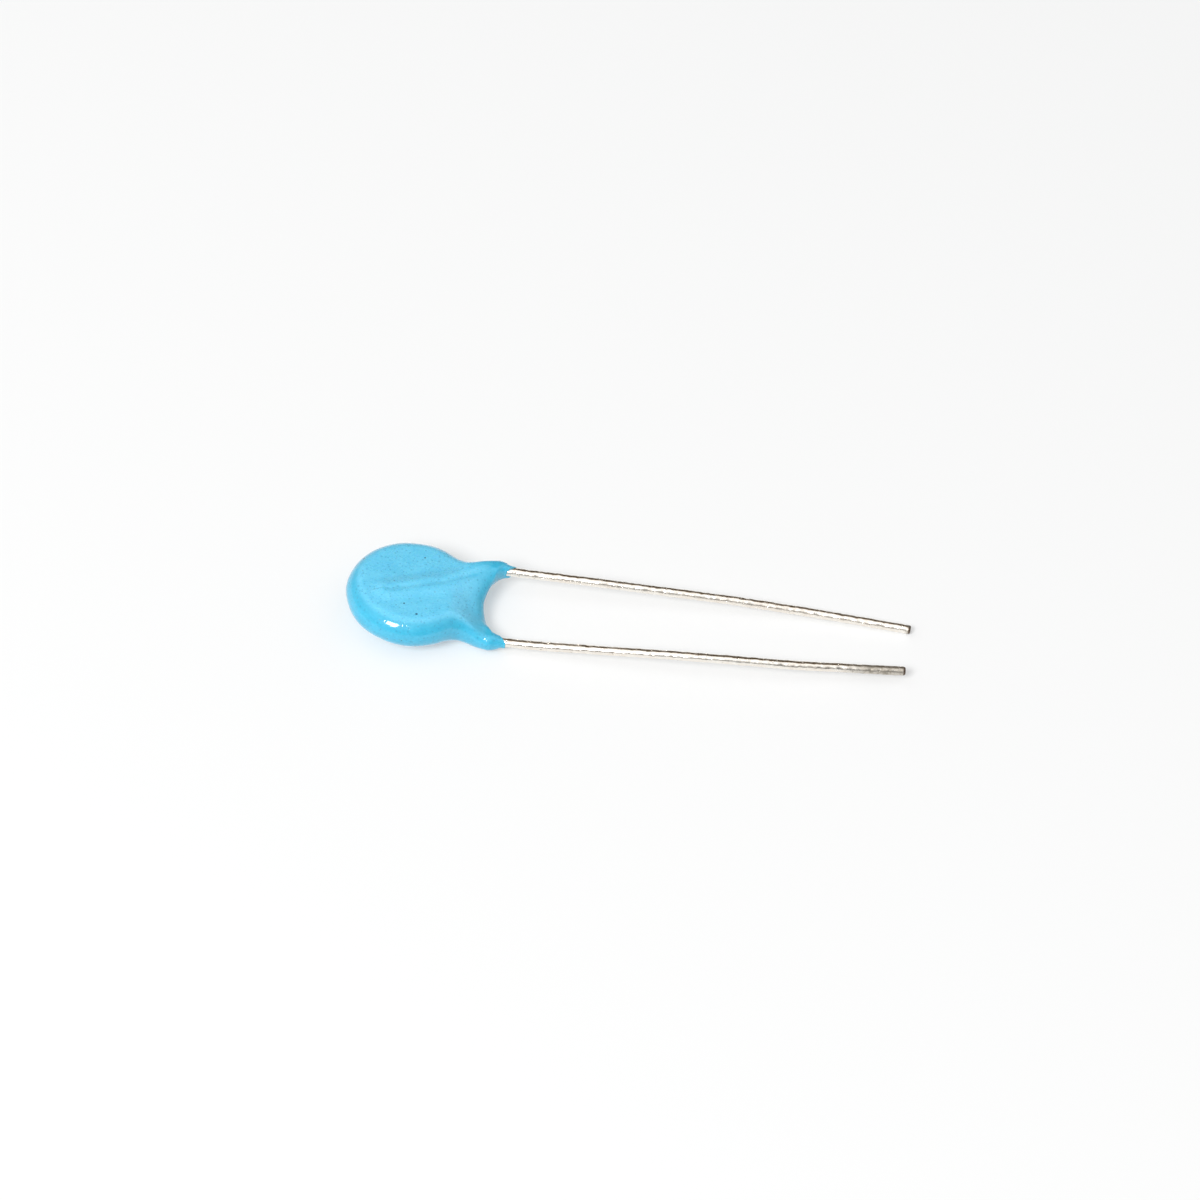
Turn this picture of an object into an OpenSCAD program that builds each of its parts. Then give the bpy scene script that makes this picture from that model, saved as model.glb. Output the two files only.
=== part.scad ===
// Radial-leaded disc varistor, lying as it comes to rest on a flat surface.
// A sintered zinc-oxide disc carries a silver electrode on each face. A tinned wire
// is soldered across each electrode, and a dipped epoxy coat covers the disc, the
// joints and the first millimetres of both wires.
//
// The modules work in the body's own frame: the disc's middle plane is XY, its centre is
// the origin, and the wires leave along +X. "Front" is the wire on the +Z face, which
// leaves at +Y; "back" is the wire on the -Z face, which leaves at -Y.
// lay() then sets the finished part down on the plane Z = 0, the way it comes to rest.

/* [Ceramic disc] */
// Diameter of the sintered disc
ceramic_d = 10; // [8.6:0.1:10.3]
// Thickness of the sintered disc
ceramic_t = 1; // [0.8:0.05:1.2]
// Chamfer pressed on both edges of the disc
ceramic_chamfer = 0.15; // [0.05:0.05:0.3]

/* [Electrodes] */
// Diameter of the fired silver layer
electrode_d = 8.8; // [7.6:0.1:9.4]
// Thickness of the fired silver layer
electrode_t = 0.02; // [0.01:0.01:0.05]

/* [Solder] */
// Radius of the solder bead that buries the wire on the electrode
solder_r = 0.9; // [0.85:0.05:1]
// Solder film left between the wire and the electrode
solder_film = 0.03; // [0.02:0.01:0.05]
// How far the bead runs on past the cut end of the wire
solder_over = 0.1; // [0:0.05:0.3]

/* [Leads] */
// Diameter of the tinned wire
lead_d = 0.8; // [0.6:0.05:0.85]
// Distance between the two wires where they leave the coat
lead_pitch = 7; // [6.6:0.1:7.6]
// Length of the soldered stretch of each wire
lead_bond = 4.9; // [4:0.1:5.2]
// Angle between the soldered stretch and the part's long axis
cross_angle = 21; // [14:1:26]
// Where the soldered stretch meets the bend towards its leg, measured along the axis
cross_x = 2.6; // [2.2:0.1:3]
// Where the soldered stretch meets that bend, measured from the axis towards its leg
cross_y = 0.5; // [0.3:0.1:0.8]
// From the rim of the coated disc to the corner where each wire turns parallel
turn_out = 1.4; // [1.2:0.1:1.6]
// Radius of the wires' formed bends, inside the coat
form_r = 1.6; // [1.2:0.1:2]
// Length of the front wire, from the disc's rim to its cut end
lead_len = 38.15; // [34:0.05:44]
// How much shorter the back wire is cut
cut_step = 0.25; // [0:0.05:1]

/* [Coat] */
// Diameter of the coated disc
coat_d = 11.6; // [11.3:0.1:12.6]
// Thickness of the coated disc beside the ridges
coat_t = 3.25; // [3:0.05:3.8]
// Extra thickness at the middle of each face
coat_crown = 0.06; // [0:0.02:0.15]
// Width of the rounded rim, seen from above
rim_w = 1.6; // [1.3:0.1:1.9]
// Height of the ridge that the coat forms over each wire
ridge_h = 0.25; // [0.1:0.05:0.35]
// Distance from the wire's centre line to the foot of the ridge
ridge_w = 1.7; // [1.3:0.1:2]
// Thickness of coat around the wire at the root of each leg
leg_cover = 0.46; // [0.3:0.02:0.5]
// Thickness of coat where it ends on the wire
lip_cover = 0.06; // [0.04:0.01:0.1]
// From the disc's rim to the end of each leg, on its outer side
leg_len = 3; // [2.8:0.1:3.6]
// How much shorter each leg is on its inner side
leg_slant = 0.9; // [0.4:0.05:1]
// From the disc's rim to the widest point of each leg
leg_hump = 1.4; // [1.2:0.1:1.6]
// How far the coat between the legs reaches beyond the disc's rim
web_reach = 0.6; // [0.4:0.1:1.1]
// Thickness of the coat between the legs
web_t = 1.1; // [0.9:0.1:1.4]

/* [Hidden] */
$fn = 64;

front = 1;
back = -1;
coat_r = coat_d / 2;
lead_r = lead_d / 2;
electrode_z = ceramic_t / 2;
bond_z = electrode_z + electrode_t;
lead_z = bond_z + solder_film + lead_r;
leg_y = lead_pitch / 2;
leg_r = lead_r + leg_cover;
lip_r = lead_r + lip_cover;
tip_x = coat_r + leg_len;
tip_in_x = tip_x - leg_slant;
hump_x = coat_r + leg_hump;
web_x = coat_r + web_reach;

function unit(v) = v / norm(v);
function flat(p) = [p.x, p.y];
function clamp(t) = min(max(t, 0), 1);
function smooth(t) = let (c = clamp(t)) c * c * (3 - 2 * c);
function mix(a, b, t) = a + (b - a) * t;
function bezier(a, b, c, d, t) = let (s = 1 - t)
    s * s * s * a + 3 * s * s * t * b + 3 * s * t * t * c + t * t * t * d;

// ---- Wire routes, as the corner points that each bend rounds off ----
// Both wires cross the disc alike, half a turn apart about the part's long axis.
bond_dir = [cos(cross_angle), sin(cross_angle), 0];
bond_end = [cross_x, cross_y, lead_z];
bond_start = bond_end - lead_bond * bond_dir;
turn = [coat_r + turn_out, leg_y, lead_z];
clear_of_coat = 1;
leave = [tip_x + clear_of_coat, leg_y, lead_z];
inner_route = [bond_start, bond_end, turn, leave];
// Outside the coat both wires were bent a little by handling. Each corner is a place along
// the wire's length, how far it stands aside from the leg's line and how far over the wire's
// level, all as shares of that length. The front wire runs nearly straight and turns in at
// its tip. The back one starts a level below and is bent up beside it.
front_bends = [[0.24, -0.0037, 0.0063], [0.57, -0.0013, 0.0063], [0.765, 0.0005, 0],
               [1, -0.0163, 0.0037]];
back_bends = [[0.5, 0.0158, -0.0526], [0.745, 0.0016, -0.0558], [1, -0.0245, -0.0595]];
function bent(bends, length) = [for (b = bends) [coat_r, leg_y, lead_z] + length * b];
front_route = concat(inner_route, bent(front_bends, lead_len));
back_route = concat(inner_route, bent(back_bends, lead_len - cut_step));

// Largest bend taken in one step, and the ball that joins two runs of wire: its size and
// how far short of the corner the runs stop, both as shares of the wire's radius
bend_step = 9;
ball_size = 1.005;
ball_inset = 0.085;

// The route with each corner rounded to the forming radius in small steps. A corner
// that bends less than one step stays as it is.
function rounded(route) = [
    for (i = [0:len(route) - 1]) each i == 0 || i == len(route) - 1 ? [route[i]] :
        let (into = unit(route[i] - route[i - 1]),
             out = unit(route[i + 1] - route[i]),
             bend = atan2(norm(cross(into, out)), into * out),
             steps = ceil(bend / bend_step),
             inward = unit(out - into * (out * into)),
             centre = route[i] - form_r * tan(bend / 2) * into + form_r * inward,
             reach = form_r / cos(bend / steps / 2))
        [for (k = [0.5:steps]) let (a = bend * k / steps)
            centre + reach * (sin(a) * into - cos(a) * inward)]];

// Places children drawn along +Z so that they start at p and run along direction d,
// with the children's X axis turned up.
module along(p, d) {
    z = unit(d);
    y = unit(cross(z, [0, 0, 1]));
    x = cross(y, z);
    multmatrix([[x.x, y.x, z.x, p.x], [x.y, y.y, z.y, p.y], [x.z, y.z, z.z, p.z]])
        children();
}

// A round wire along a route. Each straight run stops just short of its corner, and both
// runs end inside a ball that is a hair larger than the wire.
module wire(route) {
    line = rounded(route);
    last = len(line) - 1;
    inset = ball_inset * lead_r;
    for (i = [0:last - 1]) {
        step = line[i + 1] - line[i];
        from = i == 0 ? 0 : inset;
        to = norm(step) - (i == last - 1 ? 0 : inset);
        along(line[i] + from * unit(step), step) cylinder(h = to - from, r = lead_r);
    }
    for (i = [1:last - 1]) translate(line[i]) sphere(r = ball_size * lead_r);
}

// ---- Surface of the coat ----
// The outline runs once round the part in plan. Each outline point is joined to a point
// of a spine (the disc's centre, or the middle line of a leg), and the coat's two faces
// are worked out on that net from smooth functions of the place.
ARC_STEPS = 30;
SADDLE_STEPS = 9;
LEG_STEPS = 6;
TIP_STEPS = 2;
RINGS = [0, 0.012, 0.045, 0.1, 0.17, 0.26, 0.36, 0.48, 0.62, 0.8];
// Where the disc's round outline gives way to the saddle beside a leg, as an angle
saddle_angle = 55;
// How strongly the saddle holds to the disc's rim and to the leg's widest point
saddle_pull = 1.55;
hump_pull = 2.3;
// Slope of the leg's outer side at its widest point
hump_dir = unit([1, 0.32]);
// Where the disc starts to change into the legs, and where its middle starts to climb
root_x = 3.4;
climb_x = 3;
// The middle line of a leg bows out from the disc's centre
spine_bow = [3.5, 1.1];
spine_lead = 2.2;
// Squareness of the web's curve, how wide its edge rounds off, how far that runs from
// the middle, and the step between the web and the legs' thickness
web_power = 1.6;
web_round = 0.9;
web_half = 1.2;
web_step = 1.6;
// Where the ridge over a wire runs out into its leg
ridge_end = coat_r - 0.4;
ridge_fade = 1.8;

// Plan outline of one side, from the back of the disc to the middle of the web
disc_arc = [for (i = [0:ARC_STEPS])
    let (a = mix(180, saddle_angle, i / ARC_STEPS)) coat_r * [cos(a), sin(a)]];
saddle_from = coat_r * [cos(saddle_angle), sin(saddle_angle)];
saddle_dir = [sin(saddle_angle), -cos(saddle_angle)];
hump_top = [hump_x, leg_y + leg_r];
saddle = [for (i = [1:SADDLE_STEPS])
    bezier(saddle_from, saddle_from + saddle_pull * saddle_dir,
           hump_top - hump_pull * hump_dir, hump_top, i / SADDLE_STEPS)];
function leg_half(x) = mix(leg_r, lip_r, smooth((x - hump_x) / (tip_x - hump_x)));
leg_outer = [for (i = [1:LEG_STEPS])
    let (x = mix(hump_x, tip_x, i / LEG_STEPS)) [x, leg_y + leg_half(x)]];
leg_end = [for (i = [1:TIP_STEPS])
    mix([tip_x, leg_y + lip_r], [tip_in_x, leg_y - lip_r], i / (TIP_STEPS + 1))];
INNER_STEPS = SADDLE_STEPS + LEG_STEPS;
web_curve = [for (i = [0:INNER_STEPS]) let (a = 90 * i / INNER_STEPS)
    [mix(tip_in_x, web_x, pow(sin(a), 2 / web_power)),
     (leg_y - lip_r) * pow(cos(a), 2 / web_power)]];
side_outline = concat(disc_arc, saddle, leg_outer, leg_end, web_curve);

// Spine of one side, from the disc's centre to the end of the leg
spine_end = (tip_in_x + tip_x) / 2;
side_spine = concat(
    [for (i = [1:SADDLE_STEPS])
        bezier([0, 0], spine_bow, [hump_x - spine_lead, leg_y], [hump_x, leg_y],
               i / SADDLE_STEPS)],
    [for (i = [1:LEG_STEPS]) [mix(hump_x, spine_end, i / LEG_STEPS), leg_y]]);
SPINE = len(side_spine);
side_index = concat(
    [for (i = [0:ARC_STEPS]) 0],
    [for (i = [1:SPINE]) i],
    [for (i = [1:TIP_STEPS]) SPINE],
    [for (i = [SPINE:-1:0]) i]);

// The whole loop: the +Y side, then the -Y side backwards without its two end points
HALF = len(side_outline);
outline = concat(side_outline,
    [for (i = [HALF - 2:-1:1]) [side_outline[i].x, -side_outline[i].y]]);
spine_index = concat(side_index,
    [for (i = [HALF - 2:-1:1]) side_index[i] == 0 ? 0 : side_index[i] + SPINE]);
spine = concat([[0, 0]], side_spine, [for (p = side_spine) [p.x, -p.y]]);

// Width over which the coat rounds off, inwards from an outline point
function leg_width(p) = min(max(abs(abs(p.y) - leg_y), lip_r), leg_r);
function round_off(p) =
    p.x < 0 ? rim_w
    : abs(p.y) >= leg_y ? mix(rim_w, leg_width(p), smooth((p.x - root_x) / (hump_x - root_x)))
    : mix(web_round, leg_width(p), smooth((abs(p.y) - web_half) / web_half));

function to_segment(p, a, b) = let (d = b - a, t = clamp((p - a) * d / (d * d)))
    norm(p - a - t * d);
function to_wire(p) = min(to_segment(p, flat(bond_start), flat(bond_end)),
                          to_segment(p, flat(bond_end), flat(turn)));
// Height of the ridge over the wire on one face
function ridge(p, side) = let (d = to_wire([p.x, side * p.y]))
    ridge_h * pow(clamp(1 - pow(d / ridge_w, 2)), 2) * (1 - smooth((p.x - ridge_end) / ridge_fade));

// Full half thickness at a place, before it is rounded off towards the outline
function half_thickness(p) =
    let (disc = coat_t / 2 + coat_crown * (1 - pow(clamp(norm(p) / (coat_r - rim_w)), 2)),
         web = smooth((leg_y - lip_r - abs(p.y)) / web_step))
    mix(disc, mix(leg_half(p.x), web_t / 2, web), smooth((p.x - root_x) / (hump_x - root_x)));
// Height of the coat's middle surface, which climbs to each wire's own level
function middle(p) = lead_z * sin(90 * min(max(p.y / leg_y, -1), 1))
    * smooth((p.x - climb_x) / (hump_x - climb_x));

function net_point(i, t) = mix(outline[i], spine[spine_index[i]], t);
function fullness(i, t) =
    let (reach = norm(spine[spine_index[i]] - outline[i]),
         s = clamp(t * reach / min(round_off(outline[i]), reach)))
    sqrt(1 - (1 - s) * (1 - s));
function face_point(p, full, side) =
    [p.x, p.y, middle(p) + side * full * (half_thickness(p) + ridge(p, side))];
function net_face(side) = [for (j = [1:len(RINGS) - 1], i = [0:len(outline) - 1])
    face_point(net_point(i, RINGS[j]), fullness(i, RINGS[j]), side)];

module coat_body() {
    n = len(outline);
    m = len(RINGS) - 1;
    rim = [for (p = outline) face_point(p, 0, front)];
    spine_of = function (side) [for (p = spine) face_point(p, 1, side)];
    top = n;
    bottom = n + m * n;
    top_spine = bottom + m * n;
    bottom_spine = top_spine + len(spine);
    at = function (start, j, i) j == 0 ? i % n : start + (j - 1) * n + i % n;
    turned = function (tri, over) over ? [tri[0], tri[2], tri[1]] : tri;
    polyhedron(
        points = concat(rim, net_face(front), net_face(back), spine_of(front), spine_of(back)),
        faces = [
            for (s = [[top, top_spine, false], [bottom, bottom_spine, true]], i = [0:n - 1])
                each concat(
                    [for (j = [0:m - 1], k = [0, 1])
                        let (a = at(s[0], j, i), b = at(s[0], j, i + 1),
                             c = at(s[0], j + 1, i + 1), d = at(s[0], j + 1, i))
                        turned(k == 0 ? [a, b, c] : [a, c, d], s[2])],
                    let (a = at(s[0], m, i), b = at(s[0], m, i + 1),
                         c = s[1] + spine_index[(i + 1) % n], d = s[1] + spine_index[i])
                    concat([turned([a, b, c], s[2])], c == d ? [] : [turned([a, c, d], s[2])]))
        ]);
}

// ---- How the part rests ----
// It lies on three places: the coat on the one side, the coat on the other, and the tip of
// the front wire. Starting from level, the lowest point of each is found and the plane
// through the three is taken as the floor, until it no longer changes.
SETTLE_STEPS = 6;
under = net_face(back);
left_side = [for (p = under) if (p.y > 0) p];
right_side = [for (p = under) if (p.y < 0) p];
tip = front_route[len(front_route) - 1];
tip_dir = unit(tip - front_route[len(front_route) - 2]);
function tip_low(up) = tip - lead_r * unit(up - (up * tip_dir) * tip_dir);
function lowest(points, up) = let (low = min([for (p = points) p * up]))
    [for (p = points) if (p * up == low) p][0];
function floor_up(a, b, c) = let (n = unit(cross(b - a, c - a))) n.z < 0 ? -n : n;
function settle(up, n) = n == 0 ? up :
    settle(floor_up(lowest(left_side, up), lowest(right_side, up), tip_low(up)), n - 1);
up = settle([0, 0, 1], SETTLE_STEPS);

// Sets the part down on Z = 0, with the middle of its length and width at the origin
module lay() {
    x = unit([1, 0, 0] - up.x * up);
    y = cross(up, x);
    multmatrix([[x.x, x.y, x.z, (coat_r - tip.x) / 2],
                [y.x, y.y, y.z, 0],
                [up.x, up.y, up.z, -tip_low(up) * up]])
        children();
}

// ---- Pieces, in the body's frame ----
// The back wire, its solder and its electrode are the front ones turned half a turn about X
module to_side(side) rotate([side == back ? 180 : 0, 0, 0]) children();

module pressed_disc() {
    full_t = ceramic_t - 2 * ceramic_chamfer;
    cylinder(h = full_t, d = ceramic_d, center = true);
    for (side = [front, back])
        to_side(side) translate([0, 0, full_t / 2])
            cylinder(h = ceramic_chamfer, d1 = ceramic_d, d2 = ceramic_d - 2 * ceramic_chamfer);
}

module silver_layer() translate([0, 0, electrode_z]) cylinder(h = electrode_t, d = electrode_d);

// Half-round bead along the soldered stretch, flat on the electrode
module bead() {
    from = flat(bond_start - solder_over * bond_dir);
    to = flat(bond_end);
    translate([0, 0, bond_z]) intersection() {
        union() {
            for (p = [from, to]) translate(p) sphere(r = ball_size * solder_r);
            along([from.x, from.y, 0], bond_dir)
                cylinder(h = norm(to - from), r = solder_r);
        }
        translate([-coat_r, -coat_r, 0]) cube([coat_d, coat_d, coat_t]);
    }
}

module coating() color("deepskyblue") lay() difference() {
    coat_body();
    pressed_disc();
    for (side = [front, back]) to_side(side) {
        silver_layer();
        bead();
    }
    wire(front_route);
    to_side(back) wire(back_route);
}
module ceramic_disc() color("dimgray") lay() pressed_disc();
module electrode_front() color("gainsboro") lay() silver_layer();
module electrode_back() color("gainsboro") lay() to_side(back) silver_layer();
module solder_front() color("lightgray") lay() difference() {
    bead();
    wire(front_route);
}
module solder_back() color("lightgray") lay() to_side(back) difference() {
    bead();
    wire(back_route);
}
module lead_front() color("silver") lay() wire(front_route);
module lead_back() color("silver") lay() to_side(back) wire(back_route);

coating();
ceramic_disc();
electrode_front();
electrode_back();
solder_front();
solder_back();
lead_front();
lead_back();
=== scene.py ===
"""Looks of a radial-leaded disc varistor, lying on white paper, around its CAD frame.

Three numpy surfaces stand for the parts that show: the dipped epoxy coat and the two
tinned wires. The pressed disc, its silver layers and the solder beads stay as the CAD
has them, sealed in the coat, and get their own finishes.

Sizes are in millimetres in the part's own body frame, as in the CAD source: the disc's
middle plane is XY, its centre is the origin and the wires leave along +X. lay_down()
turns them into the metres of the shared frame.
"""
import math

import bpy
import numpy as np
from mathutils import Matrix, Vector


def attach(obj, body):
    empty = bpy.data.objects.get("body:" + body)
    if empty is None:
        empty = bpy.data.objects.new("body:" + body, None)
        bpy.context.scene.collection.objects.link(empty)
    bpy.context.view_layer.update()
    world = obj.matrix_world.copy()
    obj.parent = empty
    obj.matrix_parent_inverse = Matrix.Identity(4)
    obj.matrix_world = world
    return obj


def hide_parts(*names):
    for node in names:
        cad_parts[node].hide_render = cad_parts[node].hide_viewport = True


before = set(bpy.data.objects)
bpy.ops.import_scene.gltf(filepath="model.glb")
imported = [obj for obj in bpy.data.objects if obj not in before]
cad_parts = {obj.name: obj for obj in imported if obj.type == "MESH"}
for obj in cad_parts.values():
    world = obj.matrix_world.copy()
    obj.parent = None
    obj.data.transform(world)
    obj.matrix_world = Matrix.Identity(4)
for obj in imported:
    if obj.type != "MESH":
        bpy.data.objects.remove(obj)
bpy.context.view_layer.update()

MM = 0.001

# ---- Sizes of the coat ----
COAT_R = 5.8                 # radius of the coated disc
COAT_T = 3.25                # its thickness beside the ridges
CROWN = 0.06                 # extra thickness at the middle of each face
RIM_W = 1.6                  # width of the rounded rim
RIDGE_H, RIDGE_W = 0.25, 1.7  # ridge over each wire: height, and centre line to foot
RIDGE_END, RIDGE_FADE = 5.4, 1.8   # where it starts to run out, and over what length
RIDGE_ASIDE, GROOVE, GROOVE_W = 0.2, 0.105, 0.32   # how the coat sagged beside the wire
LEG_R, LIP_R = 0.86, 0.46    # radius of a leg at its root and where it ends on the wire
HUMP_X = 7.2                 # where a leg is widest
TIP_X, TIP_IN_X = 8.8, 7.9   # where a leg ends, on its outer and on its inner side
WEB_X, WEB_T, WEB_POWER = 6.4, 1.1, 1.6    # the web's middle, thickness and fullness
WEB_ROUND = 0.9              # width of its rounded edge
WEB_HALF, WEB_STEP = 1.2, 1.6    # how it gives way to the legs, in edge and in thickness
ROOT_X, CLIMB_X = 3.4, 3.0   # where the legs' form and the climb to their levels begin
SADDLE_ANGLE = math.radians(55)  # where the saddle leaves the disc's arc
SADDLE_PULL, HUMP_PULL, HUMP_SLOPE = 1.55, 2.3, 0.32   # its curve's handles
SPINE_BOW, SPINE_LEAD = (3.5, 1.1), 2.2    # the same for the spine's curve

# ---- Sizes and routes of the wires ----
WIRE_R = 0.4
LEG_Y, LEAD_Z = 3.5, 0.95
FORM_R, FREE_R = 1.6, 60.0   # radius of the formed bends and of the bends from handling
# From a wire's inner end across its electrode to where it leaves the coat
INNER_ROUTE = [(-1.97454, -1.256, LEAD_Z), (2.6, 0.5, LEAD_Z), (7.2, LEG_Y, LEAD_Z),
               (9.8, LEG_Y, LEAD_Z)]
LEAD_LEN, CUT_STEP = 38.15, 0.25   # from the disc's rim to the tip; the back wire is shorter
# Bends from handling: place along the wire, then aside and up, as shares of its length
FRONT_BENDS = [(0.24, -0.0037, 0.0063), (0.57, -0.0013, 0.0063), (0.765, 0.0005, 0.0),
               (1.0, -0.0163, 0.0037)]
BACK_BENDS = [(0.5, 0.0158, -0.0526), (0.745, 0.0016, -0.0558), (1.0, -0.0245, -0.0595)]


# ---- Small helpers ----
def clamp(t):
    """Limits t to 0 to 1."""
    return np.clip(t, 0.0, 1.0)


def smooth(t):
    """Step from 0 to 1 that starts and ends level: three t squared less two t cubed."""
    t = clamp(t)
    return t * t * (3.0 - 2.0 * t)


def mix(a, b, t):
    """Straight blend from a at 0 to b at 1."""
    return a + (b - a) * t


def unit(v):
    """Vectors at length one."""
    return v / np.linalg.norm(v, axis=-1, keepdims=True)


def bezier(a, b, c, d, t):
    """Point of the cubic curve with end points a and d and handles b and c."""
    a, b, c, d = (np.asarray(p, float) for p in (a, b, c, d))
    t = np.asarray(t)[:, None]
    s = 1.0 - t
    return s**3 * a + 3 * s * s * t * b + 3 * s * t * t * c + t**3 * d


def waves(points, length, seed, count=28):
    """Smooth irregular field of about unit size: the sum of plane sine waves with random
    directions and phases, whose wavelengths lie around the given length in millimetres."""
    rng = np.random.default_rng(seed)
    directions = unit(rng.normal(size=(count, 3)))
    lengths = length * rng.uniform(0.65, 1.5, count)
    phases = rng.uniform(0, 2 * np.pi, count)
    total = sum(np.sin(2 * np.pi * (points @ d) / w + p)
                for d, w, p in zip(directions, lengths, phases))
    return total / math.sqrt(count / 2)


def lay_down():
    """Rotation and shift that lay the body frame down as the CAD's pressed disc lies. The
    disc's middle is its box's middle, its upward axis is the direction in which its points
    spread least, and the part's long axis has no sideways lean."""
    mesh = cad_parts["ceramic_disc"].data
    points = np.empty(len(mesh.vertices) * 3)
    mesh.vertices.foreach_get("co", points)
    points = np.unique(points.reshape(-1, 3).round(8), axis=0) / MM
    middle = (points.min(0) + points.max(0)) / 2
    up = np.linalg.svd(points - points.mean(0), full_matrices=False)[2][2]
    up *= np.sign(up[2])
    along = unit(np.array([up[2], 0.0, -up[0]]))
    return np.stack([along, np.cross(up, along), up], axis=1), middle


LAY_TURN, LAY_SHIFT = lay_down()


def weld_and_build(name, grid, wear_and_painted_light):
    """Mesh object from a grid of points (rows, columns, 3) in the body frame, whose last
    column joins the first, with one number per point kept as a point attribute: tarnish
    and the bare cut on the wires, and on the coat the flat-face share that sets its painted
    light and shade. Each cell becomes two triangles, points that fall together are made one,
    triangles that this leaves without area are dropped, and what would dip under the floor
    is pressed flat."""
    rows, cols = grid.shape[:2]
    left = np.arange(rows * cols).reshape(rows, cols)
    right = np.roll(left, -1, axis=1)
    a, b, c, d = left[:-1], right[:-1], right[1:], left[1:]
    faces = np.concatenate([np.stack([a, c, b], -1).reshape(-1, 3),
                            np.stack([a, d, c], -1).reshape(-1, 3)])
    points = grid.reshape(-1, 3) @ LAY_TURN.T + LAY_SHIFT
    points[:, 2] = np.maximum(points[:, 2], 0.0)
    _, first, back = np.unique((points / 1e-5).round().astype(np.int64), axis=0,
                               return_index=True, return_inverse=True)
    faces = back.reshape(-1)[faces]
    whole = ((faces[:, 0] != faces[:, 1]) & (faces[:, 1] != faces[:, 2])
             & (faces[:, 2] != faces[:, 0]))
    mesh = bpy.data.meshes.new(name)
    mesh.from_pydata((points[first] * MM).tolist(), [], faces[whole].tolist())
    mesh.polygons.foreach_set("use_smooth", np.ones(len(mesh.polygons), bool))
    mesh.attributes.new("wear_and_painted_light", "FLOAT", "POINT").data.foreach_set(
        "value", wear_and_painted_light.reshape(-1)[first].astype(np.float32))
    mesh.update()
    piece = bpy.data.objects.new(name, mesh)
    bpy.context.scene.collection.objects.link(piece)
    return piece


# ---- The dipped coat ----
ARC_STEPS, SADDLE_STEPS, LEG_STEPS, TIP_STEPS = 110, 46, 40, 14
RIM_RINGS, FACE_RINGS = 22, 30
SHOULDER = 0.13              # how softly the rim's curve meets the faces
RIM_REACH = 0.82             # most of the way to the spine that the rim may take
SWELL = ((0.016, 4.2, 3), (0.0035, 1.6, 5), (0.0008, 0.55, 7))   # height, length, seed
RAGGED = ((0.02, 0.4, 11), (0.04, 1.1, 13))                      # the same for the lip
LIP_LENGTH = 0.7             # how far back from its end a leg is ragged
CALM_X, CALM_FADE, CALM_SHARE = 0.9, 1.2, 0.35    # the swell calms down near the tips
FLOOR_FADE = 0.4             # height over which the swell dies out at the floor
# The flat face is where the coat's finish paints a paler colour as painted light from above; the
# rest gets a deeper blue as painted shade.
FACE_FULL, FACE_X, FACE_FADE = 0.80, 7.0, 3.0     # what counts as the flat face


def leg_half(x):
    """Radius of a leg along its length: full at the root, easing down to the thin lip."""
    return mix(LEG_R, LIP_R, smooth((x - HUMP_X) / (TIP_X - HUMP_X)))


def steps(count):
    """Even steps up to 1, without 0."""
    return np.arange(1, count + 1) / count


def side_loop():
    """Plan outline of the +Y side and the spine point that each outline point looks to:
    a circular arc, a cubic saddle to the leg's widest point, the tapering leg, its cut
    across the wire, and a superellipse quarter back to the middle of the web."""
    angle = mix(math.pi, SADDLE_ANGLE, np.arange(ARC_STEPS + 1) / ARC_STEPS)
    arc = COAT_R * np.stack([np.cos(angle), np.sin(angle)], -1)
    start, ahead = arc[-1], np.array([math.sin(SADDLE_ANGLE), -math.cos(SADDLE_ANGLE)])
    hump = np.array([HUMP_X, LEG_Y + LEG_R])
    lean = unit(np.array([1.0, HUMP_SLOPE]))
    saddle = bezier(start, start + SADDLE_PULL * ahead, hump - HUMP_PULL * lean, hump,
                    steps(SADDLE_STEPS))
    x = mix(HUMP_X, TIP_X, steps(LEG_STEPS))
    leg = np.stack([x, LEG_Y + leg_half(x)], -1)
    t = (np.arange(1, TIP_STEPS + 1) / (TIP_STEPS + 1))[:, None]
    end = mix(np.array([TIP_X, LEG_Y + LIP_R]), np.array([TIP_IN_X, LEG_Y - LIP_R]), t)
    inner = SADDLE_STEPS + LEG_STEPS
    a = np.arange(inner + 1) / inner * math.pi / 2
    web = np.stack([mix(TIP_IN_X, WEB_X, np.sin(a) ** (2 / WEB_POWER)),
                    (LEG_Y - LIP_R) * np.maximum(np.cos(a), 0) ** (2 / WEB_POWER)], -1)
    outline = np.concatenate([arc, saddle, leg, end, web])

    spine_end = (TIP_IN_X + TIP_X) / 2
    bow = bezier((0, 0), SPINE_BOW, (HUMP_X - SPINE_LEAD, LEG_Y), (HUMP_X, LEG_Y),
                 steps(SADDLE_STEPS))
    x = mix(HUMP_X, spine_end, steps(LEG_STEPS))
    line = np.concatenate([bow, np.stack([x, np.full_like(x, LEG_Y)], -1)])
    spine = np.concatenate([np.zeros((ARC_STEPS + 1, 2)), line,
                            np.repeat(line[-1:], TIP_STEPS, 0), line[::-1], [[0, 0]]])
    return outline, spine


def whole_loop():
    """The +Y side, then the same backwards on the -Y side without its two end points."""
    outline, spine = side_loop()
    other = slice(-2, 0, -1)
    flip = np.array([1.0, -1.0])
    return (np.concatenate([outline, outline[other] * flip]),
            np.concatenate([spine, spine[other] * flip]))


def round_off(p):
    """Width over which the coat rounds off inwards from an outline point."""
    x, y = p[:, 0], np.abs(p[:, 1])
    leg = np.clip(np.abs(y - LEG_Y), LIP_R, LEG_R)
    outer = mix(RIM_W, leg, smooth((x - ROOT_X) / (HUMP_X - ROOT_X)))
    inner = mix(WEB_ROUND, leg, smooth((y - WEB_HALF) / WEB_HALF))
    return np.where(x < 0, RIM_W, np.where(y >= LEG_Y, outer, inner))


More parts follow.
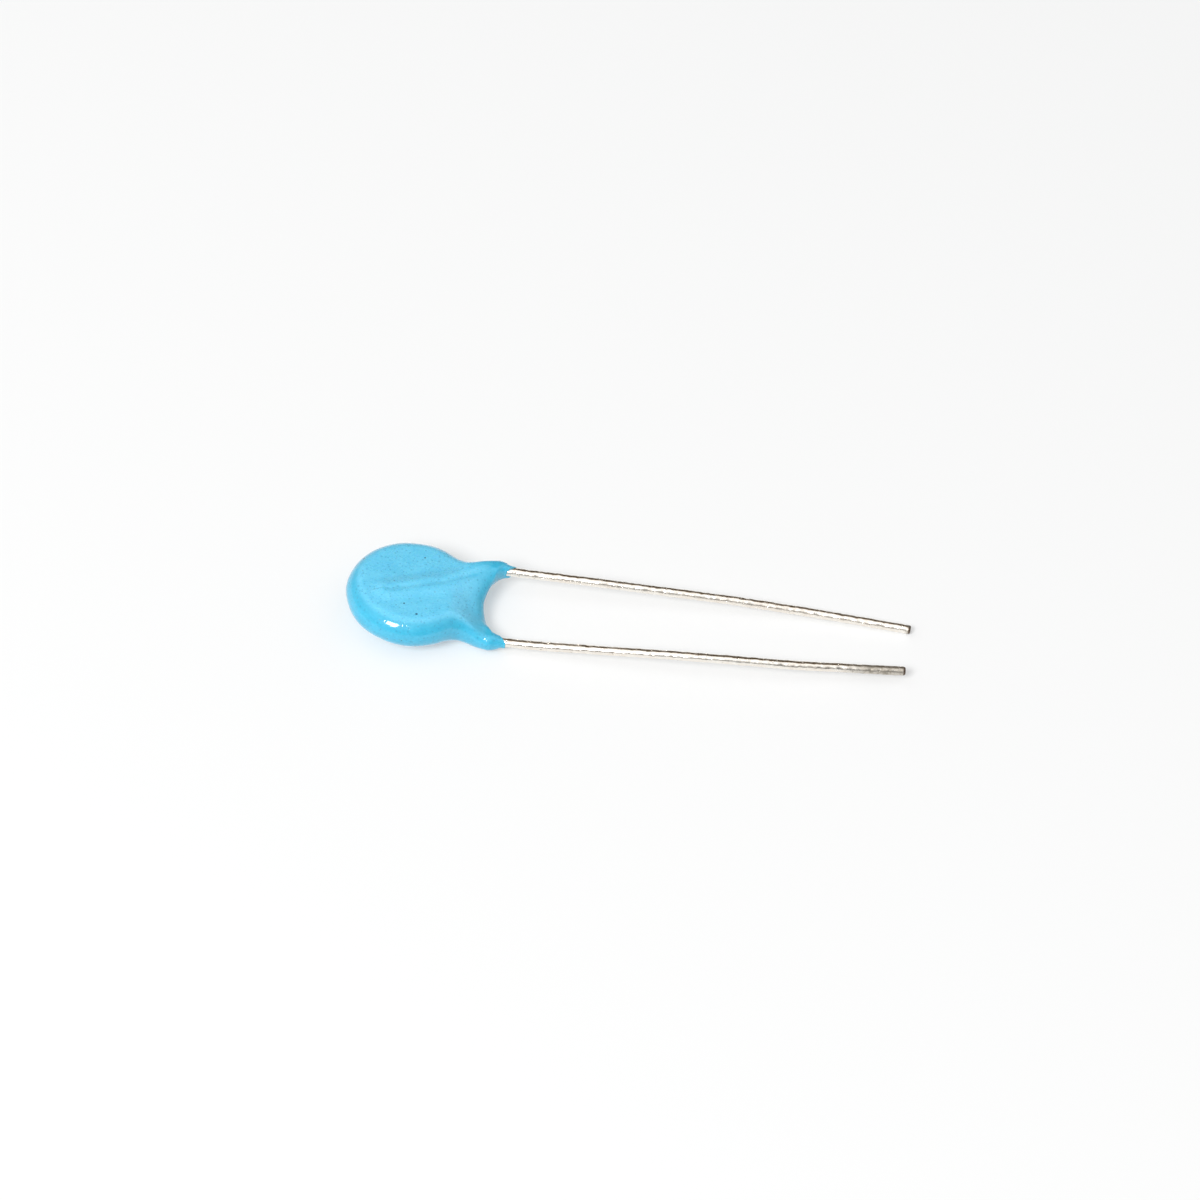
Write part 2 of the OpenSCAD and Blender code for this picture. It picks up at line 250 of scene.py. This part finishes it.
def beside(p, a, b):
    """Signed distance in plan from points p to the segment from a to b, positive to the
    right of its direction."""
    a, b = np.array(a[:2]), np.array(b[:2])
    t = clamp(((p - a) @ (b - a)) / ((b - a) @ (b - a)))
    away = p - a - t[..., None] * (b - a)
    right = away @ np.array([b[1] - a[1], a[0] - b[0]])
    return np.linalg.norm(away, axis=-1) * np.where(right < 0, -1.0, 1.0)


def ridge(p, side):
    """Height of the ridge over the wire of one face: a bell beside the wire's line with a
    shallow groove along it, both running out into the leg."""
    q = p * np.array([1.0, side])
    first = beside(q, INNER_ROUTE[0], INNER_ROUTE[1])
    second = beside(q, INNER_ROUTE[1], INNER_ROUTE[2])
    d = np.where(np.abs(first) < np.abs(second), first, second)
    bell = clamp(1 - ((d - RIDGE_ASIDE) / RIDGE_W) ** 2) ** 2
    groove = GROOVE * np.exp(-((d - RIDGE_ASIDE) / GROOVE_W) ** 2)
    return (RIDGE_H * bell - groove) * (1 - smooth((p[..., 0] - RIDGE_END) / RIDGE_FADE))


def half_thickness(p):
    """Half thickness before rounding: the disc's, eased into the leg's or the web's."""
    x, y = p[..., 0], np.abs(p[..., 1])
    r = np.linalg.norm(p, axis=-1)
    disc = COAT_T / 2 + CROWN * (1 - clamp(r / (COAT_R - RIM_W)) ** 2)
    web = smooth((LEG_Y - LIP_R - y) / WEB_STEP)
    return mix(disc, mix(leg_half(x), WEB_T / 2, web), smooth((x - ROOT_X) / (HUMP_X - ROOT_X)))


def middle(p):
    """Height of the coat's middle surface, which climbs to each wire's own level."""
    x, y = p[..., 0], p[..., 1]
    return (LEAD_Z * np.sin(np.pi / 2 * np.clip(y / LEG_Y, -1, 1))
            * smooth((x - CLIMB_X) / (HUMP_X - CLIMB_X)))


def dipped_coat():
    """Surface on a net of rings by outline points. Each ring lies a share of the way from
    the outline to the spine, both faces rise over it as a quarter ellipse to the full half
    thickness, and slow waves and a ragged lip are laid on top. Points that meet over one
    spine point are averaged, so that the net closes there. Also gives how far each point
    lies on the disc's flat faces."""
    outline, spine = whole_loop()
    reach = np.linalg.norm(spine - outline, axis=1)
    width = np.minimum(round_off(outline), reach)
    edge = np.minimum(width / reach, RIM_REACH)
    quarter = 1 - np.cos(np.arange(RIM_RINGS + 1) / RIM_RINGS * np.pi / 2)
    share = np.concatenate([quarter[:, None] * edge,
                            mix(edge, 1.0, steps(FACE_RINGS)[:, None])])
    plan = outline + share[..., None] * (spine - outline)
    short = 1 - share * reach / width
    short = (short + np.sqrt(short ** 2 + SHOULDER ** 2)) / (1 + math.hypot(1, SHOULDER))
    full = np.sqrt(clamp(1 - short ** 2))

    faces = []
    for side in (1, -1):
        z = middle(plan) + side * full * (half_thickness(plan) + ridge(plan, side))
        faces.append(np.concatenate([plan, z[..., None]], -1))
    grid = np.concatenate([faces[1][:0:-1], faces[0]])
    fullness = np.concatenate([full[:0:-1], full])
    sign = np.concatenate([np.full(len(full) - 1, -1.0), np.ones(len(full))])

    outward = np.concatenate([unit(outline - spine), np.zeros((len(outline), 1))], -1)
    normal = unit(outward[None] * (1 - fullness)[..., None]
                  + (sign[:, None] * fullness)[..., None] * np.array([0, 0, 1.0]))
    away = smooth((TIP_X - CALM_X - grid[..., 0]) / CALM_FADE)
    height = grid @ LAY_TURN[2] + LAY_SHIFT[2]
    swell = (sum(h * waves(grid, length, seed) for h, length, seed in SWELL)
             * mix(CALM_SHARE, 1.0, away) * smooth(height / FLOOR_FADE))
    lip = smooth((grid[..., 0] - TIP_IN_X + LIP_LENGTH) / LIP_LENGTH)
    ragged = sum(h * waves(grid, length, seed) for h, length, seed in RAGGED)
    grid = grid + normal * swell[..., None]
    grid[..., 0] += lip * ragged
    # Flat-face share, kept on the coat's points: it sets the painted light on the faces and the
    # painted shade on the rim, web and legs.
    flat = smooth((fullness - FACE_FULL) / 0.2) * smooth((FACE_X - grid[..., 0]) / FACE_FADE)

    meeting = np.unique(spine.round(6), axis=0, return_inverse=True)[1].reshape(-1)
    for last in (grid[0], grid[-1]):
        for k in range(3):
            total = np.bincount(meeting, last[:, k]) / np.bincount(meeting)
            last[:, k] = total[meeting]
    return grid, flat


# ---- The wires ----
WIRE_STEP, WIRE_SIDES = 0.075, 36     # distance between rings, and points in a ring
TIN_SHARE = 0.99             # share of the radius that the ripples stand on
RIPPLE, GRAIN = (0.005, 1.5), (0.007, 0.6)        # height and length of the waves
TIP_ROUND, TIP_LOSS = 0.2, 0.2   # length that the cut rounds off, share of radius it takes
END_PROUD = 0.012            # how far the edge of an end face stands out
END_RINGS = ((0.975, 0.0), (0.90, -0.004), (0.55, -0.012), (0.0, -0.016))
CUT_RINGS, CUT_WEAR = 7, 2.0     # rings at the tip that show the bare cut, and their wear


def wire_route(side):
    """Corner points of the front wire (side 1) or of the back wire (side -1), which is
    laid out like the front one and then turned half a turn about X."""
    bends, length = (FRONT_BENDS, LEAD_LEN) if side > 0 else (BACK_BENDS, LEAD_LEN - CUT_STEP)
    outside = np.array([COAT_R, LEG_Y, LEAD_Z]) + length * np.array(bends)
    return np.concatenate([INNER_ROUTE, outside]) * np.array([1.0, side, side])


def centre_line(route):
    """Points along a route with each corner rounded by an arc, evenly spaced."""
    pieces = [route[:1]]
    for i in range(1, len(route) - 1):
        into, out = unit(route[i] - route[i - 1]), unit(route[i + 1] - route[i])
        radius = FORM_R if i < len(INNER_ROUTE) - 1 else FREE_R
        bend = math.acos(float(np.clip(into @ out, -1, 1)))
        inward = unit(out - into * (out @ into))
        centre = route[i] - radius * math.tan(bend / 2) * into + radius * inward
        a = np.linspace(0, bend, 33)[:, None]
        pieces.append(centre + radius * (np.sin(a) * into - np.cos(a) * inward))
    line = np.concatenate(pieces + [route[-1:]])
    run = np.concatenate([[0], np.cumsum(np.linalg.norm(np.diff(line, axis=0), axis=1))])
    at = np.linspace(0, run[-1], int(run[-1] / WIRE_STEP) + 1)
    return np.stack([np.interp(at, run, line[:, k]) for k in range(3)], -1)


def tinned_wire(route, seed, tarnish):
    """Tube along the centre line. Its radius carries slow ripples of frozen tin and finer
    grain. Over the last TIP_ROUND the radius falls by TIP_LOSS of itself, with the square
    of the way gone. Both ends are rings that shrink to the middle of the end face. Also
    gives the wear: tarnish that grows from 0 to 1 over the given length up to the tip, and
    CUT_WEAR on the bare cut."""
    line = centre_line(route)
    ahead = unit(np.gradient(line, axis=0))
    side = unit(np.cross(ahead, [0, 0, 1.0]))
    over = np.cross(side, ahead)
    turn = np.arange(WIRE_SIDES) / WIRE_SIDES * 2 * np.pi
    around = (np.cos(turn)[None, :, None] * side[:, None]
              + np.sin(turn)[None, :, None] * over[:, None])
    skin = line[:, None] + WIRE_R * around
    ripple = RIPPLE[0] * waves(skin, RIPPLE[1], seed) + GRAIN[0] * waves(skin, GRAIN[1], seed + 1)
    from_tip = np.linalg.norm(line - line[-1], axis=1)
    nose = 1 - TIP_LOSS * clamp(1 - from_tip / TIP_ROUND) ** 2
    tube = line[:, None] + (nose[:, None] * (WIRE_R * TIN_SHARE + ripple))[..., None] * around

    def end_face(index, way):
        """Rings of the end face, from its edge to its slightly hollow middle."""
        rings = []
        for share, back in END_RINGS:
            rings.append(line[index] + share * (tube[index] - line[index])
                         + way * (END_PROUD + back) * ahead[index])
        return np.array(rings)

    grid = np.concatenate([end_face(0, -1.0)[::-1], tube, end_face(-1, 1.0)])
    wear_and_painted_light = smooth((grid[..., 0] - line[-1, 0] + tarnish) / (0.6 * tarnish))
    wear_and_painted_light[-CUT_RINGS:] = CUT_WEAR
    return grid, wear_and_painted_light


# ---- Shader building blocks ----
def new_group(name, inputs, outputs):
    """Empty shader node group with named float or vector inputs and outputs."""
    group = bpy.data.node_groups.new(name, "ShaderNodeTree")
    for label, kind, value in inputs:
        socket = group.interface.new_socket(name=label, in_out="INPUT", socket_type=kind)
        if value is not None:
            socket.default_value = value
    for label, kind in outputs:
        group.interface.new_socket(name=label, in_out="OUTPUT", socket_type=kind)
    return group, group.nodes.new("NodeGroupInput"), group.nodes.new("NodeGroupOutput")


def math_node(tree, operation, a, b=None, clamp_result=False):
    """Output of a Math node on numbers or sockets."""
    node = tree.nodes.new("ShaderNodeMath")
    node.operation = operation
    node.use_clamp = clamp_result
    for socket, value in zip(node.inputs, (a, b)):
        if value is None:
            continue
        if isinstance(value, (int, float)):
            socket.default_value = value
        else:
            tree.links.new(value, socket)
    return node.outputs[0]


def noise_node(tree, vector, scale, detail=3.0, roughness=0.55):
    """Output of a Noise Texture around one half."""
    node = tree.nodes.new("ShaderNodeTexNoise")
    tree.links.new(vector, node.inputs["Vector"])
    if isinstance(scale, (int, float)):
        node.inputs["Scale"].default_value = scale
    else:
        tree.links.new(scale, node.inputs["Scale"])
    node.inputs["Detail"].default_value = detail
    node.inputs["Roughness"].default_value = roughness
    return node.outputs["Fac"]


def range_node(tree, value, low, high, to_low=0.0, to_high=1.0, soft=True):
    """Output of a Map Range node, a smooth step unless told otherwise."""
    node = tree.nodes.new("ShaderNodeMapRange")
    node.interpolation_type = "SMOOTHSTEP" if soft else "LINEAR"
    tree.links.new(value, node.inputs["Value"])
    for label, number in (("From Min", low), ("From Max", high),
                          ("To Min", to_low), ("To Max", to_high)):
        node.inputs[label].default_value = number
    return node.outputs["Result"]


def mottle_group():
    """Cloudy variation: two noises, one of the given grain in millimetres and one five
    times as broad, averaged into a mask around one half."""
    group, given, result = new_group(
        "cloudy_mottle",
        [("Place", "NodeSocketVector", None), ("Grain per mm", "NodeSocketFloat", 1.0)],
        [("Mask", "NodeSocketFloat")])
    fine = noise_node(group, given.outputs["Place"], given.outputs["Grain per mm"], 4.0)
    broad = noise_node(group, given.outputs["Place"],
                       math_node(group, "MULTIPLY", given.outputs["Grain per mm"], 0.2), 2.0)
    both = math_node(group, "ADD", math_node(group, "MULTIPLY", fine, 0.6),
                     math_node(group, "MULTIPLY", broad, 0.4))
    group.links.new(both, result.inputs["Mask"])
    return group


def speck_group():
    """Scattered round specks: in each cell of a Voronoi pattern, the distance to the
    cell's point makes a spot, kept only where the cell's random number passes the share
    given, and its size varies with a second random number."""
    group, given, result = new_group(
        "scattered_specks",
        [("Place", "NodeSocketVector", None), ("Cells per mm", "NodeSocketFloat", 1.0),
         ("Share", "NodeSocketFloat", 0.3), ("Radius", "NodeSocketFloat", 0.2)],
        [("Mask", "NodeSocketFloat")])
    cells = group.nodes.new("ShaderNodeTexVoronoi")
    group.links.new(given.outputs["Place"], cells.inputs["Vector"])
    group.links.new(given.outputs["Cells per mm"], cells.inputs["Scale"])
    split = group.nodes.new("ShaderNodeSeparateColor")
    group.links.new(cells.outputs["Color"], split.inputs["Color"])
    kept = math_node(group, "LESS_THAN", split.outputs["Red"], given.outputs["Share"])
    size = math_node(group, "MULTIPLY", given.outputs["Radius"],
                     math_node(group, "ADD", split.outputs["Green"], 0.35))
    near = math_node(group, "SUBTRACT", 1.0,
                     math_node(group, "DIVIDE", cells.outputs["Distance"], size), True)
    spot = range_node(group, near, 0.0, 0.45)
    group.links.new(math_node(group, "MULTIPLY", spot, kept), result.inputs["Mask"])
    return group


MOTTLE = mottle_group()
SPECKS = speck_group()


class Finish:
    """A material under construction: its tree, its Principled shader and the place on
    the piece in millimetres."""

    def __init__(self, name, **constants):
        self.material = bpy.data.materials.new(name)
        self.material.use_nodes = True
        self.tree = self.material.node_tree
        self.shader = self.tree.nodes["Principled BSDF"]
        for label, value in constants.items():
            self.shader.inputs[label.replace("_", " ")].default_value = value
        place = self.tree.nodes.new("ShaderNodeTexCoord").outputs["Object"]
        scale = self.tree.nodes.new("ShaderNodeMapping")
        scale.inputs["Scale"].default_value = (1 / MM,) * 3
        self.tree.links.new(place, scale.inputs["Vector"])
        self.place = scale.outputs["Vector"]

    def group(self, group, **values):
        """Mask of a node group laid over the piece."""
        node = self.tree.nodes.new("ShaderNodeGroup")
        node.node_tree = group
        self.tree.links.new(self.place, node.inputs["Place"])
        for label, value in values.items():
            node.inputs[label.replace("_", " ")].default_value = value
        return node.outputs["Mask"]

    def blend(self, mask, a, b):
        """Colour a where the mask is 0 and b where it is 1."""
        node = self.tree.nodes.new("ShaderNodeMix")
        node.data_type = "RGBA"
        self.tree.links.new(mask, node.inputs["Factor"])
        for label, value in (("A", a), ("B", b)):
            socket = [s for s in node.inputs if s.name == label and s.type == "RGBA"][0]
            if isinstance(value, tuple):
                socket.default_value = (*value, 1.0)
            else:
                self.tree.links.new(value, socket)
        return [s for s in node.outputs if s.type == "RGBA"][0]

    def wear_and_painted_light(self):
        """The number that the piece's mesh keeps at each point: tarnish and the bare cut on the
        wires, and on the coat the flat-face share that sets its painted light and shade.
        """
        node = self.tree.nodes.new("ShaderNodeAttribute")
        node.attribute_name = "wear_and_painted_light"
        return node.outputs["Fac"]

    def to(self, label, value):
        """Feeds a socket of the shader."""
        self.tree.links.new(value, self.shader.inputs[label])

    def bump(self, height, depth_mm, strength=1.0):
        """Relief of the given depth from a height."""
        node = self.tree.nodes.new("ShaderNodeBump")
        node.inputs["Strength"].default_value = strength
        node.inputs["Distance"].default_value = depth_mm * MM
        self.tree.links.new(height, node.inputs["Height"])
        self.to("Normal", node.outputs["Normal"])


def epoxy_finish():
    """Sky blue dipped epoxy: duller on the faces than on the rim and legs, and painted paler
    on the faces as painted light from above, with a deeper blue on the rim, web and legs as
    painted shade. Faint clouds of pigment, many fine dark specks and pits, and a glossy
    skin with orange peel."""
    finish = Finish("sky_blue_epoxy", IOR=1.55, Specular_IOR_Level=0.65, Subsurface_Weight=0.12,
                    Subsurface_Radius=(0.2 * MM, 0.5 * MM, 0.8 * MM), Subsurface_Scale=1.0,
                    Sheen_Weight=0.65, Sheen_Roughness=0.30, Sheen_Tint=(1.0, 0.93, 0.93, 1.0))
    tree = finish.tree
    flat = finish.wear_and_painted_light()
    clouds = range_node(tree, finish.group(MOTTLE, Grain_per_mm=4.5), 0.36, 0.64)
    # Painted light and shade: the rim, web and legs get a deeper blue as painted shade, and the
    # flat faces a paler blue as painted light from above; the flat-face share blends them.
    rim = finish.blend(clouds, (0.045, 0.445, 0.670), (0.062, 0.500, 0.735))
    face = finish.blend(clouds, (0.130, 0.595, 0.870), (0.170, 0.660, 0.925))
    colour = finish.blend(flat, rim, face)
    fine = finish.group(SPECKS, Cells_per_mm=3.3, Share=0.9, Radius=0.32)
    coarse = finish.group(SPECKS, Cells_per_mm=0.8, Share=0.8, Radius=0.09)
    colour = finish.blend(math_node(tree, "MULTIPLY", fine, 0.34), colour, (0.03, 0.22, 0.40))
    colour = finish.blend(math_node(tree, "MULTIPLY", coarse, 0.85), colour,
                          (0.01, 0.06, 0.12))
    finish.to("Base Color", colour)
    peel = noise_node(tree, finish.place, 2.2, 2.0)
    gloss = math_node(tree, "ADD", range_node(tree, peel, 0.3, 0.7, 0.09, 0.17),
                      math_node(tree, "MULTIPLY", flat, 0.16))
    finish.to("Roughness", gloss)
    height = math_node(tree, "SUBTRACT", peel,
                       math_node(tree, "ADD", fine, math_node(tree, "MULTIPLY", coarse, 2.0)))
    finish.bump(height, 0.006)
    return finish.material


def tin_finish():
    """Hot-tinned copper: bright rippled tin with duller oxide clouds, small pits, grey
    tarnish where the wear attribute grows towards the tip, and dark bare metal on the
    cut."""
    finish = Finish("tinned_copper", Metallic=1.0)
    tree = finish.tree
    clouds = finish.group(MOTTLE, Grain_per_mm=1.7)
    colour = finish.blend(range_node(tree, clouds, 0.35, 0.65),
                          (0.89, 0.82, 0.735), (0.95, 0.915, 0.85))
    pits = finish.group(SPECKS, Cells_per_mm=3.0, Share=0.45, Radius=0.22)
    colour = finish.blend(math_node(tree, "MULTIPLY", pits, 0.5), colour,
                          (0.35, 0.30, 0.24))
    patches = finish.group(MOTTLE, Grain_per_mm=3.0)
    wear_and_painted_light = finish.wear_and_painted_light()
    tarnish = math_node(tree, "MULTIPLY", range_node(tree, wear_and_painted_light, 0.0, 1.0, soft=False),
                        range_node(tree, patches, 0.40, 0.56, 0.55, 1.0))
    colour = finish.blend(tarnish, colour, (0.38, 0.345, 0.29))
    colour = finish.blend(range_node(tree, wear_and_painted_light, 1.0, CUT_WEAR), colour, (0.16, 0.12, 0.09))
    finish.to("Base Color", colour)
    grain = noise_node(tree, finish.place, 2.4, 4.0, 0.6)
    finish.to("Roughness", math_node(tree, "ADD", range_node(tree, grain, 0.3, 0.7, 0.12, 0.30),
                                     math_node(tree, "MULTIPLY", tarnish, 0.2)))
    height = math_node(tree, "SUBTRACT", grain, pits)
    finish.bump(height, 0.03)
    return finish.material


def zinc_oxide_finish():
    """Dark grey-green sintered ceramic with a fine matt grain."""
    finish = Finish("sintered_zinc_oxide", Roughness=0.75)
    clouds = finish.group(MOTTLE, Grain_per_mm=6.0)
    finish.to("Base Color", finish.blend(clouds, (0.055, 0.065, 0.06), (0.12, 0.135, 0.12)))
    finish.bump(clouds, 0.01)
    return finish.material


def silver_finish():
    """Fired silver paste: satin, with a faint print grain."""
    finish = Finish("fired_silver", Metallic=1.0)
    clouds = finish.group(MOTTLE, Grain_per_mm=8.0)
    finish.to("Base Color", finish.blend(clouds, (0.70, 0.69, 0.66), (0.86, 0.85, 0.82)))
    finish.to("Roughness", range_node(finish.tree, clouds, 0.3, 0.7, 0.35, 0.55))
    finish.bump(clouds, 0.006)
    return finish.material


def solder_finish():
    """Frozen tin solder: semi-bright, with broad flow marks."""
    finish = Finish("tin_solder", Metallic=1.0)
    clouds = finish.group(MOTTLE, Grain_per_mm=2.5)
    finish.to("Base Color", finish.blend(clouds, (0.52, 0.52, 0.53), (0.74, 0.74, 0.74)))
    finish.to("Roughness", range_node(finish.tree, clouds, 0.3, 0.7, 0.22, 0.42))
    finish.bump(clouds, 0.02)
    return finish.material


# ---- The object ----
def dress(piece, node, finish):
    """Lets a new piece stand for a CAD node and take its finish."""
    piece.data.materials.append(finish)
    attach(piece, "root")
    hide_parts(node)


tin = tin_finish()
coat = weld_and_build("dipped_coat", *dipped_coat())
dress(coat, "coating", epoxy_finish())
front_wire = weld_and_build("front_wire", *tinned_wire(wire_route(1), 21, 0.5))
dress(front_wire, "lead_front", tin)
back_wire = weld_and_build("back_wire", *tinned_wire(wire_route(-1), 31, 6.5))
dress(back_wire, "lead_back", tin)

for node, finish in (("ceramic_disc", zinc_oxide_finish()),
                     ("electrode_front", silver_finish()), ("electrode_back", silver_finish()),
                     ("solder_front", solder_finish()), ("solder_back", solder_finish())):
    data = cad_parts[node].data
    data.materials.clear()
    data.materials.append(finish)


# ---- Paper, light and camera ----
SKY_LOW, SKY_TOP = 0.49, 0.88    # strength of the sky at the horizon and overhead
SKY_STRIP = 0.35                 # extra strength that gloss finds in the strip overhead
SKY_NEAR, SKY_CORNER = 0.75, 0.45    # what is left of it at the near side and corner
SKY_GAP = 0.86                   # how dark the gap is
PAPER_HALF = 3.0                 # half the sheet's side, in metres
PAPER, PAPER_SHOWN, PAPER_GLOW = 0.86, 0.52, 0.395    # whiteness by itself, and as shown
LAMP_WAY = (-0.35, -0.58, 0.73)  # where the lamps stand, seen from the part


def shown_ray(tree):
    """1 for rays that show the paper or the sky: from the camera, or by gloss or glass."""
    path = tree.nodes.new("ShaderNodeLightPath")
    seen = math_node(tree, "MAXIMUM", path.outputs["Is Camera Ray"],
                     path.outputs["Is Glossy Ray"])
    return math_node(tree, "MAXIMUM", seen, path.outputs["Is Transmission Ray"])


def white_paper():
    """Large sheet of paper. Rays that show it see part diffuse white, which keeps the
    shadows, and part even white; all other rays see plain white paper."""
    mesh = bpy.data.meshes.new("paper")
    corners = [(PAPER_HALF * x, PAPER_HALF * y, 0)
               for x, y in ((-1, -1), (1, -1), (1, 1), (-1, 1))]
    mesh.from_pydata(corners, [], [(0, 1, 2, 3)])
    sheet = bpy.data.objects.new("paper", mesh)
    bpy.context.scene.collection.objects.link(sheet)
    material = bpy.data.materials.new("paper")
    material.use_nodes = True
    tree = material.node_tree
    tree.nodes.remove(tree.nodes["Principled BSDF"])
    plain, shown = (tree.nodes.new("ShaderNodeBsdfDiffuse") for _ in range(2))
    plain.inputs["Color"].default_value = (PAPER, PAPER, PAPER, 1)
    shown.inputs["Color"].default_value = (PAPER_SHOWN, PAPER_SHOWN, PAPER_SHOWN, 1)
    glow = tree.nodes.new("ShaderNodeEmission")
    glow.inputs["Color"].default_value = (0.98, 0.995, 1.0, 1)
    glow.inputs["Strength"].default_value = PAPER_GLOW
    both = tree.nodes.new("ShaderNodeAddShader")
    tree.links.new(shown.outputs[0], both.inputs[0])
    tree.links.new(glow.outputs[0], both.inputs[1])
    choice = tree.nodes.new("ShaderNodeMixShader")
    tree.links.new(shown_ray(tree), choice.inputs[0])
    tree.links.new(plain.outputs[0], choice.inputs[1])
    tree.links.new(both.outputs[0], choice.inputs[2])
    tree.links.new(choice.outputs[0], tree.nodes["Material Output"].inputs["Surface"])
    mesh.materials.append(material)


def soft_room():
    """World light: an even pale sky that dims towards the near side and the near corner,
    with a bright strip overhead that only gloss shows, and a dark warm gap beyond its far
    end. The camera sees plain white."""
    world = bpy.data.worlds.new("soft_room")
    bpy.context.scene.world = world
    world.use_nodes = True
    tree = world.node_tree
    sky = tree.nodes["Background"]
    direction = tree.nodes.new("ShaderNodeTexCoord").outputs["Generated"]
    split = tree.nodes.new("ShaderNodeSeparateXYZ")
    tree.links.new(direction, split.inputs[0])
    x, y, z = split.outputs
    even = range_node(tree, z, 0.25, 0.95, SKY_LOW, SKY_TOP)
    near = range_node(tree, y, -0.90, -0.45, SKY_NEAR, 1.0)
    corner = math_node(tree, "MULTIPLY", range_node(tree, x, 0.08, 0.45),
                       range_node(tree, y, -0.60, -0.15, 1.0 - SKY_CORNER, 0.0))
    near = math_node(tree, "MULTIPLY", near, math_node(tree, "SUBTRACT", 1.0, corner))
    across = range_node(tree, math_node(tree, "ABSOLUTE", x, None), 0.20, 0.45, 1.0, 0.0)
    path = tree.nodes.new("ShaderNodeLightPath")
    overhead = math_node(tree, "MULTIPLY", range_node(tree, y, -0.92, -0.75),
                         range_node(tree, y, 0.16, 0.44, SKY_STRIP, 0.0))
    strip = math_node(tree, "MULTIPLY", math_node(tree, "MULTIPLY", across, overhead),
                      path.outputs["Is Glossy Ray"])
    even = math_node(tree, "ADD", even, strip)
    gap = math_node(tree, "MULTIPLY", across, range_node(tree, y, 0.19, 0.50))
    open_sky = math_node(tree, "SUBTRACT", 1.0, math_node(tree, "MULTIPLY", gap, SKY_GAP))
    tree.links.new(math_node(tree, "MULTIPLY", math_node(tree, "MULTIPLY", even, near),
                             open_sky), sky.inputs["Strength"])
    tint = tree.nodes.new("ShaderNodeMix")
    tint.data_type = "RGBA"
    tree.links.new(gap, tint.inputs[0])
    tint.inputs[6].default_value = (1.0, 1.0, 1.0, 1)      # 6, 7 and output 2: the colours
    tint.inputs[7].default_value = (1.0, 0.76, 0.50, 1)
    tree.links.new(tint.outputs[2], sky.inputs["Color"])
    white = tree.nodes.new("ShaderNodeBackground")
    white.inputs["Color"].default_value = (0.98, 0.99, 1.0, 1)
    choice = tree.nodes.new("ShaderNodeMixShader")
    tree.links.new(path.outputs["Is Camera Ray"], choice.inputs[0])
    tree.links.new(sky.outputs[0], choice.inputs[1])
    tree.links.new(white.outputs[0], choice.inputs[2])
    tree.links.new(choice.outputs[0], tree.nodes["World Output"].inputs["Surface"])


def soft_box(name, direction, distance, width, height, power, only_gloss=False):
    """Rectangular lamp in a direction from the part, facing it; sizes in metres. Its
    bright middle can be a lamp that only gloss shows."""
    lamp = bpy.data.lights.new(name, "AREA")
    lamp.shape = "RECTANGLE"
    lamp.size, lamp.size_y, lamp.energy = width, height, power
    holder = bpy.data.objects.new(name, lamp)
    away = Vector(direction).normalized()
    turn = away.to_track_quat("Z", "Y").to_matrix().to_4x4()
    holder.matrix_world = Matrix.Translation(away * distance) @ turn
    holder.visible_diffuse = not only_gloss
    bpy.context.scene.collection.objects.link(holder)


def camera():
    """Camera at the viewing angle: a long lens, aimed at a point on the paper near the
    part's middle, from the side of the back wire, with a small roll."""
    place = Vector((13.223, -292.452, 338.883)) * MM
    ahead = Vector((-0.035353, 0.657066, -0.753004)).normalized()
    right = Vector((0.994631, 0.096458, 0.037471)).normalized()
    over = right.cross(ahead).normalized()
    data = bpy.data.cameras.new("camera")
    data.sensor_width = 36.0
    data.lens = 152.55
    data.clip_start, data.clip_end = 0.01, 20.0
    eye = bpy.data.objects.new("camera", data)
    turn = Matrix((right, over, -ahead)).transposed().to_4x4()
    eye.matrix_world = Matrix.Translation(place) @ turn
    bpy.context.scene.collection.objects.link(eye)
    bpy.context.scene.camera = eye


white_paper()
soft_room()
soft_box("softbox", LAMP_WAY, 0.80, 0.32, 0.28, 4.7)
soft_box("softbox_middle", LAMP_WAY, 0.79, 0.22, 0.16, 1.8, only_gloss=True)
camera()
bpy.context.scene.view_settings.view_transform = "Standard"
